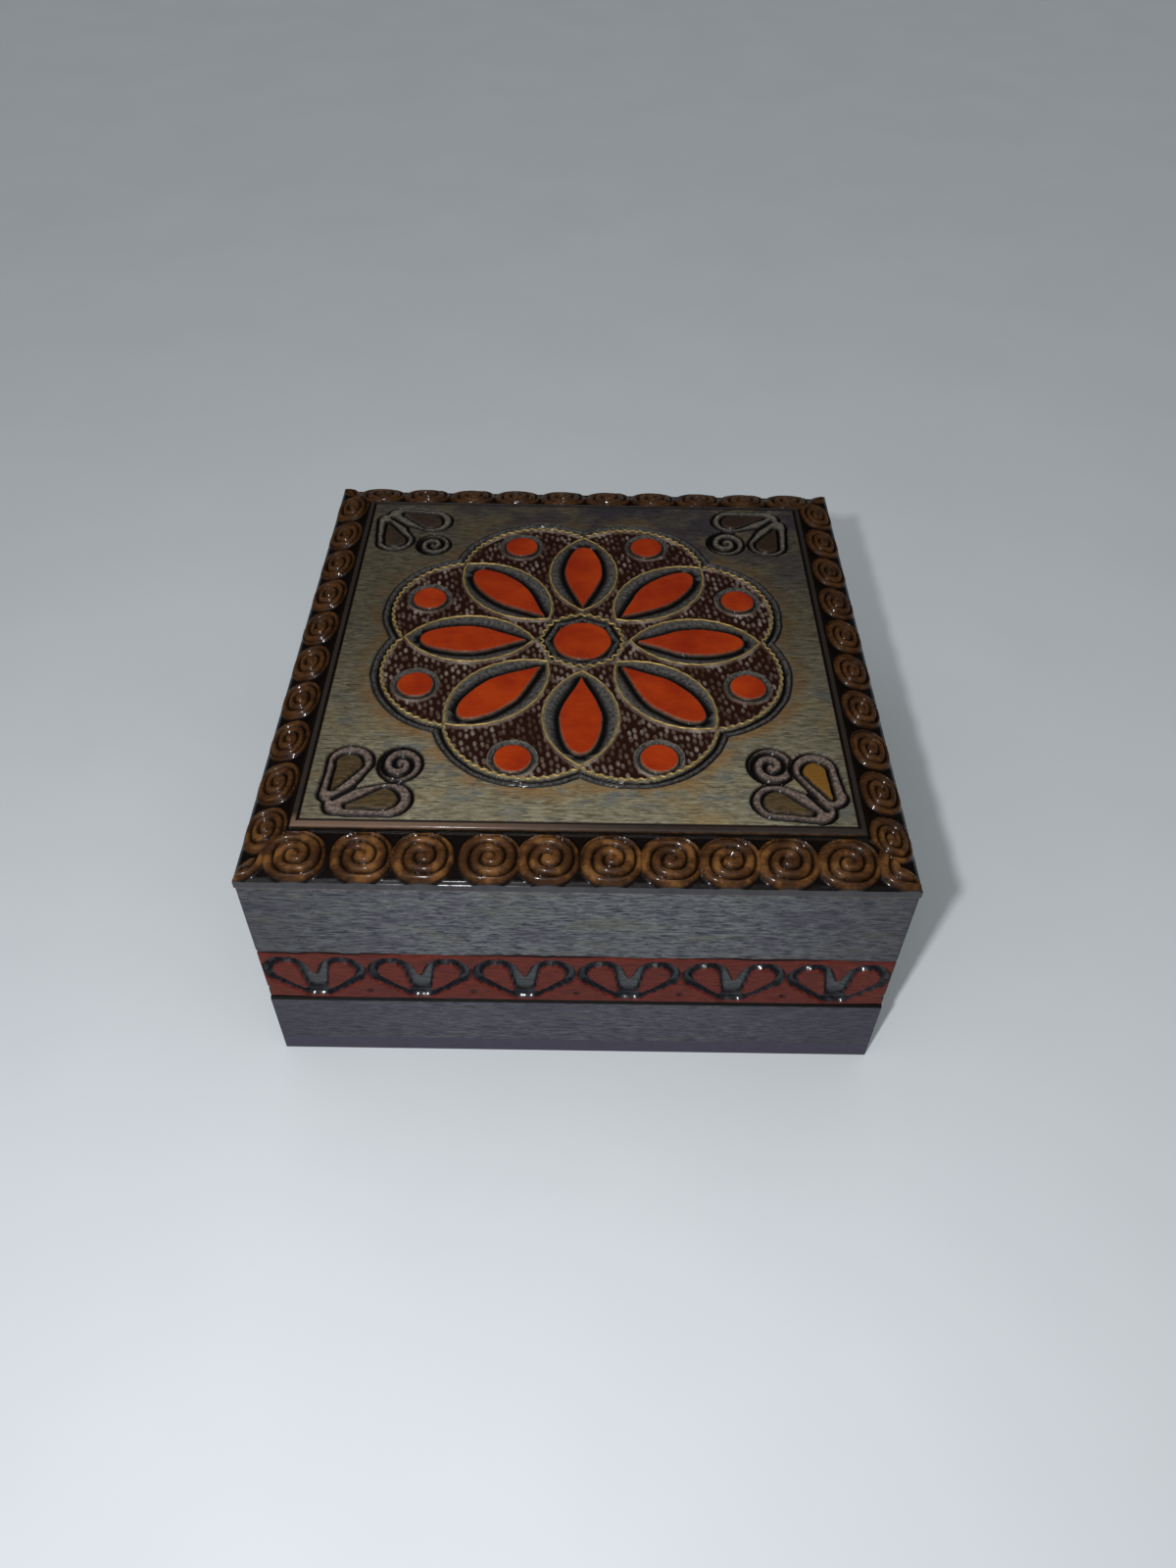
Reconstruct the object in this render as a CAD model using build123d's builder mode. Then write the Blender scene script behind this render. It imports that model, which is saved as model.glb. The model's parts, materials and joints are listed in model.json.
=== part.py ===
"""A carved wooden jewelry box with a deep hinged lid, in millimetres.

The box stands on Z = 0 with its front towards -Y and its hinges at the back, towards +Y.
The base is a shallow tray of four walls on a bottom board. The lid is four taller walls
under a thick top board, whose border slopes down from a raised square panel. The walls
meet at rabbeted corners. Brass wire is let into the rosette on the panel, and two brass
butt hinges join the lid to the base. The back edges are bevelled, which stops the lid.
"""

import os
from math import asin, atan, atan2, cos, degrees, hypot, pi, radians, sin, tan

from build123d import *

# Outer sizes
width = 127.0
depth = 132.0
base_height = 19.2
lid_edge_height = 58.5
crown_rise = 3.0
seam_gap = 0.3

# Boards
wall = 8.0
bottom_board = 4.5
top_board_edge = 3.0
corner_tongue = 2.5
eased_edge = 0.4

# Sloping border of the top board
border_side = 10.5
border_front = 12.0
frame_groove_width = 1.0
frame_groove_depth = 0.8
frame_bead = 1.6

# Hinges
hinge_spacing = 72.0
pin_inset = 2.2
pin_radius = 0.6
pin_hold = 0.02
pin_running = 0.05
barrel_radius = 1.5
barrel_room = 0.25
leaf_length = 20.0
leaf_reach = 5.2
leaf_thickness = 0.8
leaf_room = 0.1
knuckle_end = 6.0
knuckle_gap = 0.3
lid_opening = 95.0
stop_margin = 1.0

# Hinge screws
screw_spacing = 12.4
screw_setback = 3.5
screw_radius = 0.7
screw_head_radius = 1.25
screw_length = 7.0
screw_point = 1.6
screw_room = 0.03
screw_slot_width = 0.3
screw_slot_depth = 0.25

# Carving
carving_depth = 0.9
band_depth = 1.2
band_motifs = 6
band_corner_room = 1.8
band_leaf_share = 0.7
band_leaf_half_share = 0.228
gouge_width = 1.9

# Scrolls of the sloping border. The front row's places are shares of half the width.
scroll_depth = 1.0
scroll_turns = 2.4
scroll_first_angle = 2.6
scroll_last_share = 0.84
scroll_groove_share = 0.4
scroll_count = 10
scroll_corner_room = 5.0
scroll_fill = 0.97
scroll_groove_lap = 0.3
scroll_frame_room = 0.2
scroll_edge_room = 0.4
scroll_mitre_room = 0.15
front_scrolls = (-0.83, -0.633, -0.455, -0.258, -0.088, 0.096, 0.272, 0.444, 0.614, 0.792)

# Rosette
petals = 8
petal_inner = 10.1
petal_outer = 38.6
petal_half_width = 7.8
petal_heart_inner = 13.6
petal_heart_outer = 35.4
petal_heart_half = 4.6
lobe_cusp = 39.6
lobe_reach = 44.2
lobe_groove = 2.0
dot_circle = 38.8
dot_radius = 3.75
dot_groove = 1.5
centre_radius = 6.3
centre_wire_radius = 8.9

# Brass wire
wire_width = 0.5
wire_depth = 1.0
wire_room = 0.05
wire_shoulder = 0.5

# Leaf pairs of the side band and of the panel's corners
leaf_motif_length = 15.0
leaf_motif_half = 4.9
leaf_motif_tilt = 33.0
leaf_motif_lift = 1.2
corner_motif_inset = 5.2
corner_spiral_reach = 15.6
corner_spiral_radius = 4.6

# Heights and places that follow from the sizes above
lid_rim = base_height + seam_gap
board_low = lid_edge_height - top_board_edge
panel_top = lid_edge_height + crown_rise
panel_x = width / 2 - border_side
panel_y = depth / 2 - border_front
hinge_y = depth / 2 - pin_inset
hinge_z = base_height + seam_gap / 2
bevel_angle = (lid_opening + stop_margin) / 2
bevel_drop = pin_inset * tan(radians(bevel_angle))
bevel_start = hinge_y + seam_gap / 2 / tan(radians(bevel_angle))
petal_step = 360 / petals

parts = []


def keep(builder, name):
    """Labels a finished piece, remembers it and writes its STEP file."""
    builder.part.label = name
    parts.append(builder.part)
    export_step(builder.part, f"parts/{name}.step")


def polygon(points):
    """Flat shape of a closed polygon, such as a wall's cross-section."""
    with BuildSketch() as shape:
        with BuildLine():
            Polyline(*points, close=True)
        make_face()
    return shape.sketch


def plain_wall(outer, inner, low, high, eased_at):
    """Cross-section of a plain wall, with its outer edge eased at the seam."""
    step = eased_edge if inner > outer else -eased_edge
    if eased_at == "high":
        return [(outer, low), (outer, high - eased_edge), (outer + step, high), (inner, high), (inner, low)]
    return [(outer + step, low), (outer, low + eased_edge), (outer, high), (inner, high), (inner, low)]


def teardrop(length, half_width):
    """Leaf outline with its point at the origin and its round end towards +Y."""
    shoulder = length - half_width
    waist = (half_width * 0.74, shoulder * 0.5)
    with BuildSketch() as leaf:
        with BuildLine():
            ThreePointArc((0, 0), waist, (half_width, shoulder))
            ThreePointArc((half_width, shoulder), (0, length), (-half_width, shoulder))
            ThreePointArc((-half_width, shoulder), (-waist[0], waist[1]), (0, 0))
        make_face()
    return leaf.sketch


def leaf_channel(length, half_width):
    """Gouged channel round one leaf, as a flat sketch."""
    heart = teardrop(length - 2.2 * gouge_width, half_width - gouge_width)
    with BuildSketch() as channel:
        add(teardrop(length, half_width))
        with Locations((0, 1.2 * gouge_width)):
            add(heart, mode=Mode.SUBTRACT)
    return channel.sketch


def leaf_pair(length, half_width):
    """Two leaf channels that open from one point like a heart, towards +Y."""
    leaf = leaf_channel(length, half_width)
    with BuildSketch() as pair:
        for tilt in (-leaf_motif_tilt, leaf_motif_tilt):
            with Locations(Location((0, 0, 0), (0, 0, tilt))):
                add(leaf)
    return pair.sketch


def band_cutter(face, length):
    """Everything that is carved into one outer face of the lid's walls. The face's x runs along the wall."""
    pitch = (length - 2 * band_corner_room) / band_motifs
    motif = leaf_pair(pitch * band_leaf_share, pitch * band_leaf_half_share)
    with BuildPart() as cutter:
        with BuildSketch(face):
            with GridLocations(pitch, 1, band_motifs, 1):
                with Locations((0, leaf_motif_lift)):
                    add(motif)
        extrude(amount=-band_depth)
    return cutter.part


def add_rabbets(outer_y, low, high):
    """Cuts the end rabbets of a front or back wall, which take the side walls."""
    inward = 1 if outer_y < 0 else -1
    rabbet = wall - corner_tongue
    middle_y = outer_y + inward * (corner_tongue + rabbet / 2)
    with Locations(
        *[(side * (width - wall) / 2, middle_y, (low + high) / 2) for side in (-1, 1)]
    ):
        Box(wall, rabbet, high - low, mode=Mode.SUBTRACT)


def hinge_places():
    """Centres of the two hinges' barrels."""
    return [(side * hinge_spacing / 2, hinge_y, hinge_z) for side in (-1, 1)]


def leaf_box(above):
    """Centre height of a hinge leaf, whose face is flush with its rim."""
    offset = seam_gap / 2 + leaf_thickness / 2
    return offset if above else -offset


def cut_hinge_mortises(above):
    """Cuts the seats of both hinges, and their screws' holes, into a back wall."""
    way = 1 if above else -1
    seat_depth = leaf_thickness + leaf_room
    for x, y, z in hinge_places():
        with Locations((x, y - leaf_reach / 2, z + way * (seam_gap + seat_depth) / 2)):
            Box(leaf_length + 2 * leaf_room, leaf_reach + 2 * leaf_room, seat_depth, mode=Mode.SUBTRACT)
        with Locations(Location((x, y, z), (0, 90, 0))):
            Cylinder(barrel_radius + barrel_room, leaf_length + 2 * leaf_room, mode=Mode.SUBTRACT)
        hole = screw_length + screw_room
        for side in (-1, 1):
            with Locations((x + side * screw_spacing / 2, y - screw_setback, z + way * (seam_gap / 2 + hole / 2))):
                Cylinder(screw_radius + screw_room, hole, mode=Mode.SUBTRACT)


def make_base():
    """The bottom board and the four walls of the tray."""
    with BuildPart() as board:
        with BuildSketch(Plane.XY):
            Rectangle(width, depth)
        extrude(amount=bottom_board)
    keep(board, "bottom_board")

    with BuildPart() as front:
        with BuildSketch(Plane.YZ):
            add(polygon(plain_wall(-depth / 2, wall - depth / 2, bottom_board, base_height, "high")))
        extrude(amount=width / 2, both=True)
        add_rabbets(-depth / 2, bottom_board, base_height)
    keep(front, "base_front_wall")

    with BuildPart() as back:
        with BuildSketch(Plane.YZ):
            add(
                polygon(
                    [
                        (depth / 2 - wall, bottom_board),
                        (depth / 2, bottom_board),
                        (depth / 2, hinge_z - bevel_drop),
                        (bevel_start, base_height),
                        (depth / 2 - wall, base_height),
                    ]
                )
            )
        extrude(amount=width / 2, both=True)
        add_rabbets(depth / 2, bottom_board, base_height)
        cut_hinge_mortises(above=False)
    keep(back, "base_back_wall")

    for side, name in ((-1, "base_left_wall"), (1, "base_right_wall")):
        outer = side * width / 2
        with BuildPart() as side_wall:
            with BuildSketch(Plane.XZ):
                add(polygon(plain_wall(outer, outer - side * wall, bottom_board, base_height, "high")))
            extrude(amount=depth / 2 - corner_tongue, both=True)
        keep(side_wall, name)


def make_lid_walls():
    """The four walls of the lid, with the leaf band carved round their lower edge."""
    front_face = Plane(origin=(0, -depth / 2, lid_rim), x_dir=(1, 0, 0), z_dir=(0, -1, 0))
    back_face = Plane(origin=(0, depth / 2, lid_rim), x_dir=(-1, 0, 0), z_dir=(0, 1, 0))
    left_face = Plane(origin=(-width / 2, 0, lid_rim), x_dir=(0, -1, 0), z_dir=(-1, 0, 0))
    right_face = Plane(origin=(width / 2, 0, lid_rim), x_dir=(0, 1, 0), z_dir=(1, 0, 0))
    front_band = band_cutter(front_face, width)
    back_band = band_cutter(back_face, width)
    left_band = band_cutter(left_face, depth)
    right_band = band_cutter(right_face, depth)

    with BuildPart() as front:
        with BuildSketch(Plane.YZ):
            add(polygon(plain_wall(-depth / 2, wall - depth / 2, lid_rim, board_low, "low")))
        extrude(amount=width / 2, both=True)
        add_rabbets(-depth / 2, lid_rim, board_low)
        for band in (front_band, left_band, right_band):
            add(band, mode=Mode.SUBTRACT)
    keep(front, "lid_front_wall")

    with BuildPart() as back:
        with BuildSketch(Plane.YZ):
            add(
                polygon(
                    [
                        (depth / 2 - wall, lid_rim),
                        (bevel_start, lid_rim),
                        (depth / 2, hinge_z + bevel_drop),
                        (depth / 2, board_low),
                        (depth / 2 - wall, board_low),
                    ]
                )
            )
        extrude(amount=width / 2, both=True)
        add_rabbets(depth / 2, lid_rim, board_low)
        for band in (back_band, left_band, right_band):
            add(band, mode=Mode.SUBTRACT)
        cut_hinge_mortises(above=True)
    keep(back, "lid_back_wall")

    for side, name, band in ((-1, "lid_left_wall", left_band), (1, "lid_right_wall", right_band)):
        outer = side * width / 2
        with BuildPart() as side_wall:
            with BuildSketch(Plane.XZ):
                add(polygon(plain_wall(outer, outer - side * wall, lid_rim, board_low, "low")))
            extrude(amount=depth / 2 - corner_tongue, both=True)
            add(band, mode=Mode.SUBTRACT)
        keep(side_wall, name)


def petal_outline(grow=0.0):
    """Almond outline along +X that the petal's wire follows, grown by an even amount."""
    half_chord = (petal_outer - petal_inner) / 2
    middle = (petal_outer + petal_inner) / 2
    arc_radius = (half_chord**2 + petal_half_width**2) / (2 * petal_half_width) + grow
    arc_drop = (half_chord**2 - petal_half_width**2) / (2 * petal_half_width)
    reach = (arc_radius**2 - arc_drop**2) ** 0.5
    crest = arc_radius - arc_drop
    with BuildSketch() as petal:
        with BuildLine():
            ThreePointArc((middle - reach, 0), (middle, crest), (middle + reach, 0))
            ThreePointArc((middle + reach, 0), (middle, -crest), (middle - reach, 0))
        make_face()
    return petal.sketch


def petal_ribbon(grow):
    """Flat shape of a petal's wire, or of its slot when it is grown."""
    with BuildSketch() as ribbon:
        add(petal_outline(wire_width / 2 + grow))
        add(petal_outline(-wire_width / 2 - grow), mode=Mode.SUBTRACT)
    return ribbon.sketch


def petal_channel():
    """Flat shape of the channel between a petal's wire and its raised heart."""
    shoulder_x = petal_heart_outer - petal_heart_half
    with BuildSketch() as heart:
        with BuildLine():
            ThreePointArc(
                (petal_heart_inner, 0),
                ((petal_heart_inner + shoulder_x) / 2, petal_heart_half * 0.82),
                (shoulder_x, petal_heart_half),
            )
            ThreePointArc(
                (shoulder_x, petal_heart_half), (petal_heart_outer, 0), (shoulder_x, -petal_heart_half)
            )
            ThreePointArc(
                (shoulder_x, -petal_heart_half),
                ((petal_heart_inner + shoulder_x) / 2, -petal_heart_half * 0.82),
                (petal_heart_inner, 0),
            )
        make_face()
    with BuildSketch() as channel:
        add(petal_outline(-wire_width / 2 - wire_shoulder))
        add(heart.sketch, mode=Mode.SUBTRACT)
    return channel.sketch


def lobe_circle():
    """Centre distance and radius of a lobe's arc, through both cusps and the lobe's reach."""
    half_step = radians(petal_step / 2)
    centre = (lobe_reach**2 - lobe_cusp**2) / (2 * (lobe_reach - lobe_cusp * cos(half_step)))
    return centre, lobe_reach - centre


def lobe_arc(inner, outer, trim):
    """Flat ring piece that follows one lobe, between two offsets from the lobe's line."""
    centre, radius = lobe_circle()
    half_step = radians(petal_step / 2)
    sweep = degrees(atan2(lobe_cusp * sin(half_step), lobe_cusp * cos(half_step) - centre)) - trim
    with BuildSketch() as piece:
        with BuildLine():
            low = radius + inner
            high = radius + outer
            first = CenterArc((centre, 0), low, -sweep, 2 * sweep)
            second = CenterArc((centre, 0), high, -sweep, 2 * sweep)
            Line(first @ 0, second @ 0)
            Line(first @ 1, second @ 1)
        make_face()
    return piece.sketch


def ring(radius, inner, outer):
    """Flat ring between two offsets from a radius."""
    with BuildSketch() as piece:
        Circle(radius + outer)
        Circle(radius + inner, mode=Mode.SUBTRACT)
    return piece.sketch


def corner_motifs():
    """Leaf pair and spiral ring of each panel corner, as one flat sketch."""
    pair = leaf_pair(leaf_motif_length, leaf_motif_half)
    coil = ring(corner_spiral_radius, -gouge_width, 0)
    with BuildSketch() as motifs:
        for x_side in (-1, 1):
            for y_side in (-1, 1):
                tip_x = x_side * (panel_x - corner_motif_inset)
                tip_y = y_side * (panel_y - corner_motif_inset)
                inward = degrees(atan2(-y_side, -x_side))
                reach = corner_spiral_reach / 2**0.5
                with Locations(Location((tip_x, tip_y, 0), (0, 0, inward - 90))):
                    add(pair)
                with Locations((tip_x - x_side * reach, tip_y - y_side * reach)):
                    add(coil)
    return motifs.sketch


def scroll_groove(along_x, along_y, hand, turn):
    """Spiral groove of one border scroll round the origin, as a flat sketch."""
    sweep = 2 * pi * scroll_turns
    half = scroll_groove_share / 2 / scroll_turns
    steps = 22
    turned = sweep * scroll_last_share - scroll_first_angle
    angles = [scroll_first_angle + turned * k / steps for k in range(steps + 1)]

    def edge(offset):
        """Points of the groove's inner or outer edge."""
        places = []
        for angle in angles:
            share = angle / sweep + offset
            bearing = hand * (angle + turn - pi)
            places.append((along_x * share * cos(bearing), along_y * share * sin(bearing)))
        return places

    with BuildSketch() as groove:
        with BuildLine():
            inner = Spline(*edge(-half))
            outer = Spline(*edge(half))
            Line(inner @ 0, outer @ 0)
            Line(inner @ 1, outer @ 1)
        make_face()
    return groove.sketch


def scroll_pitch(length):
    """Even distance between the scrolls along an edge of this length."""
    return (length - 2 * scroll_corner_room) / scroll_count


def scroll_cutter(axis, side, places, hand):
    """What is carved from one side of the border. axis is the direction that the side faces, side its sign."""
    faces_x = axis == "x"
    border, other_border = (border_side, border_front) if faces_x else (border_front, border_side)
    edge, other_edge = (panel_x, panel_y) if faces_x else (panel_y, panel_x)
    along = scroll_pitch(depth if faces_x else width) / 2 * scroll_fill
    slope = atan(crown_rise / border)
    frame = frame_bead + frame_groove_width
    reach = (border - frame - scroll_frame_room - scroll_edge_room) / 2
    across = side * (frame + scroll_frame_room + reach) / cos(slope)
    corners = []
    start = frame - scroll_groove_lap
    for end, beyond in ((-1, start), (-1, border + 1), (1, border + 1), (1, start)):
        run = end * (other_edge + beyond * other_border / border - scroll_mitre_room)
        drop = side * beyond / cos(slope)
        corners.append((drop, run) if faces_x else (run, drop))
    strip = polygon(corners)
    radii = (reach, along) if faces_x else (along, reach)
    spots = [(across, place) if faces_x else (place, across) for place in places]
    with BuildSketch() as grooves:
        for n, spot in enumerate(spots):
            with Locations(spot):
                add(scroll_groove(*radii, hand, 1.2 + 0.5 * (n % 3)))
        add(strip, mode=Mode.INTERSECT)
    if faces_x:
        face = Plane(
            origin=(side * panel_x, 0, panel_top),
            x_dir=(cos(slope), 0, -side * sin(slope)),
            z_dir=(side * sin(slope), 0, cos(slope)),
        )
    else:
        face = Plane(
            origin=(0, side * panel_y, panel_top), x_dir=(1, 0, 0), z_dir=(0, side * sin(slope), cos(slope))
        )
    with BuildPart() as cutter:
        with BuildSketch(face):
            add(strip)
            with Locations(*spots):
                Ellipse(*radii, mode=Mode.SUBTRACT)
            add(grooves.sketch)
        extrude(amount=-scroll_depth)
    return cutter.part


def scroll_row(length):
    """Even places of one row of scrolls."""
    return [(n - (scroll_count - 1) / 2) * scroll_pitch(length) for n in range(scroll_count)]


def make_top_board():
    """The top board: a raised panel inside a sloping border, carved and slotted for the wire."""
    half_step = petal_step / 2
    lobe_trim = degrees(asin(wire_shoulder / lobe_circle()[1]))
    with BuildPart() as board:
        with BuildSketch(Plane.XY.offset(board_low)):
            Rectangle(width, depth)
        extrude(amount=top_board_edge)
        with BuildSketch(Plane.XY.offset(lid_edge_height)):
            Rectangle(width, depth)
        with BuildSketch(Plane.XY.offset(panel_top)):
            Rectangle(2 * panel_x, 2 * panel_y)
        loft(ruled=True)
        with BuildSketch(Plane.XY.offset(panel_top)):
            frame = frame_bead + frame_groove_width
            Rectangle(2 * (panel_x + frame), 2 * (panel_y + frame))
            Rectangle(2 * (panel_x + frame_bead), 2 * (panel_y + frame_bead), mode=Mode.SUBTRACT)
        slope_drop = crown_rise * (frame_bead + frame_groove_width) / border_front
        extrude(amount=-frame_groove_depth - slope_drop, mode=Mode.SUBTRACT)
        front_row = [share * width / 2 for share in front_scrolls]
        add(scroll_cutter("y", -1, front_row, 1), mode=Mode.SUBTRACT)
        add(scroll_cutter("y", 1, scroll_row(width), 1), mode=Mode.SUBTRACT)
        add(scroll_cutter("x", -1, scroll_row(depth), -1), mode=Mode.SUBTRACT)
        add(scroll_cutter("x", 1, scroll_row(depth), 1), mode=Mode.SUBTRACT)
        with BuildSketch(Plane.XY.offset(panel_top)):
            with PolarLocations(0, petals):
                add(petal_channel())
            with PolarLocations(0, petals, start_angle=half_step):
                add(lobe_arc(wire_width / 2 + wire_shoulder, wire_width / 2 + wire_shoulder + lobe_groove, 0))
            with PolarLocations(dot_circle, petals, start_angle=half_step):
                add(ring(dot_radius, 0, dot_groove))
            add(ring(centre_radius, 0, centre_wire_radius - centre_radius - wire_width / 2 - wire_shoulder))
            add(corner_motifs())
        extrude(amount=-carving_depth, mode=Mode.SUBTRACT)
        with BuildSketch(Plane.XY.offset(panel_top)):
            with PolarLocations(0, petals):
                add(petal_ribbon(wire_room))
            with PolarLocations(0, petals, start_angle=half_step):
                add(lobe_arc(-wire_width / 2 - wire_room, wire_width / 2 + wire_room, lobe_trim / 2))
            add(ring(centre_wire_radius, -wire_width / 2 - wire_room, wire_width / 2 + wire_room))
        extrude(amount=-wire_depth - wire_room, mode=Mode.SUBTRACT)
    keep(board, "top_board")


def make_wires():
    """Brass wires let into the rosette: one round each petal, one along each lobe, one round the centre."""
    low = Plane.XY.offset(panel_top - wire_depth)
    half_step = petal_step / 2
    lobe_trim = degrees(asin(wire_shoulder / lobe_circle()[1]))
    for n in range(petals):
        with BuildPart() as petal_wire:
            with BuildSketch(low):
                with Locations(Location((0, 0, 0), (0, 0, n * petal_step))):
                    add(petal_ribbon(0))
            extrude(amount=wire_depth)
        keep(petal_wire, f"petal_wire_{n + 1}")
        with BuildPart() as lobe_wire:
            with BuildSketch(low):
                with Locations(Location((0, 0, 0), (0, 0, n * petal_step + half_step))):
                    add(lobe_arc(-wire_width / 2, wire_width / 2, lobe_trim))
            extrude(amount=wire_depth)
        keep(lobe_wire, f"lobe_wire_{n + 1}")
    with BuildPart() as centre_wire:
        with BuildSketch(low):
            add(ring(centre_wire_radius, -wire_width / 2, wire_width / 2))
        extrude(amount=wire_depth)
    keep(centre_wire, "centre_wire")


def knuckle_spans(outer):
    """Middle and length of each knuckle along the barrel: the outer pair, or the one between them."""
    if outer:
        middle = (leaf_length - knuckle_end) / 2
        return [(-middle, knuckle_end), (middle, knuckle_end)]
    return [(0, leaf_length - 2 * knuckle_end - 2 * knuckle_gap)]


def make_leaf(x, above, name):
    """One hinge leaf with its rolled knuckles. The base's leaf has the outer knuckles."""
    way = 1 if above else -1
    bore = pin_radius + (pin_running if above else pin_hold)
    with BuildPart() as leaf:
        with Locations((x, hinge_y - leaf_reach / 2, hinge_z + leaf_box(above))):
            Box(leaf_length, leaf_reach, leaf_thickness)
        for middle, length in knuckle_spans(outer=above):
            with Locations(Location((x + middle, hinge_y, hinge_z), (0, 90, 0))):
                Cylinder(barrel_radius + knuckle_gap, length + 2 * knuckle_gap, mode=Mode.SUBTRACT)
        for middle, length in knuckle_spans(outer=not above):
            with Locations(Location((x + middle, hinge_y, hinge_z), (0, 90, 0))):
                Cylinder(barrel_radius, length)
        with Locations(Location((x, hinge_y, hinge_z), (0, 90, 0))):
            Cylinder(bore, leaf_length + knuckle_gap, mode=Mode.SUBTRACT)
        face_z = hinge_z + way * seam_gap / 2
        face = Plane(origin=(x, hinge_y - screw_setback, face_z), z_dir=(0, 0, -way))
        with Locations(face):
            with GridLocations(screw_spacing, 1, 2, 1):
                CounterSinkHole(
                    screw_radius + screw_room, screw_head_radius + screw_room, depth=leaf_thickness
                )
    keep(leaf, name)


def make_screws(x, above, name):
    """The two countersunk screws of one leaf, flush with its face."""
    way = 1 if above else -1
    head_depth = screw_head_radius - screw_radius
    with BuildSketch(Plane.XZ) as profile:
        with BuildLine():
            Polyline(
                (0, 0),
                (screw_head_radius, 0),
                (screw_radius, -head_depth),
                (screw_radius, screw_point - screw_length),
                (0, -screw_length),
                close=True,
            )
        make_face()
    with BuildPart() as screw:
        add(profile.sketch)
        revolve(axis=Axis.Z)
        Box(2 * screw_head_radius, screw_slot_width, 2 * screw_slot_depth, mode=Mode.SUBTRACT)
    with BuildPart() as pair:
        for side in (-1, 1):
            spot = (x + side * screw_spacing / 2, hinge_y - screw_setback, hinge_z + way * seam_gap / 2)
            turn = (180, 0, 0) if above else (0, 0, 0)
            with Locations(Location(spot, turn)):
                add(screw.part)
    keep(pair, name)


def make_hinges():
    """Both butt hinges: two leaves, a pin and two pairs of screws each."""
    for side, hand in ((-1, "left"), (1, "right")):
        x = side * hinge_spacing / 2
        make_leaf(x, False, f"{hand}_hinge_base_leaf")
        make_leaf(x, True, f"{hand}_hinge_lid_leaf")
        with BuildPart() as pin:
            with Locations(Location((x, hinge_y, hinge_z), (0, 90, 0))):
                Cylinder(pin_radius, leaf_length)
        keep(pin, f"{hand}_hinge_pin")
        make_screws(x, False, f"{hand}_hinge_base_screws")
        make_screws(x, True, f"{hand}_hinge_lid_screws")


os.makedirs("parts", exist_ok=True)
make_base()
make_lid_walls()
make_top_board()
make_wires()
make_hinges()
print(f"{len(parts)} pieces written, panel diagonal {hypot(2 * panel_x, 2 * panel_y):.1f} mm")
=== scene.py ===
"""The carved jewelry box as in the photograph: stained and lacquered wood, gouged carving and brass wire."""

import json
from math import asin, atan2, cos, pi, radians, sin

import bpy
import numpy as np
from mathutils import Matrix

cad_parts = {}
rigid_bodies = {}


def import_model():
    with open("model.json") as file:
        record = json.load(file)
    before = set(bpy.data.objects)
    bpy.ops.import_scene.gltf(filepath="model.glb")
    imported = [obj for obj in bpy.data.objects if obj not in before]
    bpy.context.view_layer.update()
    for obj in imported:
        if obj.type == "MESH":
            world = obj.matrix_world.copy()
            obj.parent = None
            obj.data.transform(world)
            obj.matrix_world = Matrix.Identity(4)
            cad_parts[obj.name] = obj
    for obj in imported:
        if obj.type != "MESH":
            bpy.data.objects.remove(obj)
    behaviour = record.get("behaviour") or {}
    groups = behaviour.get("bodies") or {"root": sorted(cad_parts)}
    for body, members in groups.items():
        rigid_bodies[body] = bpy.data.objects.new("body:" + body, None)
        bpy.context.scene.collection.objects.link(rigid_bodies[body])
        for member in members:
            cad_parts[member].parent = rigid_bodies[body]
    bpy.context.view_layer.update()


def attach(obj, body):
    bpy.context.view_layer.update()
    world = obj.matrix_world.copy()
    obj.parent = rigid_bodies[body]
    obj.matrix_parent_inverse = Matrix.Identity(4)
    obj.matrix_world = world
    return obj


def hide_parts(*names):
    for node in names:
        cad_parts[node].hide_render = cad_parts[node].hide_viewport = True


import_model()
MM = 0.001

# Sizes in millimetres, the same as the solids' sizes
HALF_X = 63.5
HALF_Y = 66.0
WALL = 8.0
TONGUE = 2.5
LID_RIM = 19.5
BOARD_LOW = 55.5
EDGE_TOP = 58.5
PANEL_TOP = 61.5
PANEL_X = 53.0
PANEL_Y = 54.0
BAND_MOTIFS = 6

# Mesh steps in millimetres, points along a wire and round it, and the angle above which an edge stays sharp
TOP_STEP = 0.26
WALL_STEP = 0.45
CORE_STEP = 4.0
WIRE_SAMPLES = 360
WIRE_SIDES = 8
SHARP_ANGLE = radians(50)

# Lid walls: height and depth of the scored line over the band, softened corners, and the rim's eased edge.
# The rim rises at the front corners, and the rise fades out between two distances behind the front. Of
# these the solids have only an eased rim.
BAND_TOP, SCORE_DEPTH = 35.0, 0.3
CORNER_EASE, CORNER_REACH = 0.3, 0.7
RIM_EASE, RIM_RISE = 0.35, 0.5
RISE_FULL, RISE_GONE = 12, 45

# Leaf pairs of the band, each a round cone with an island in it: foot, head, foot radius, head radius.
# A small nick sits between two pairs, in the scene alone. The gouges are deeper than the solids' 1.2 mm.
LEAF = ((1.0, 22.7), (5.6, 28.9), 2.6, 4.8)
ISLAND = ((2.7, 23.4), (5.6, 28.9), 0.7, 2.75)
BAND_DEPTH = 1.5
NICK_Z, NICK_HALF_WIDTH, NICK_HALF_HEIGHT, NICK_DEPTH = 22.4, 1.1, 0.75, 0.7

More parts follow.
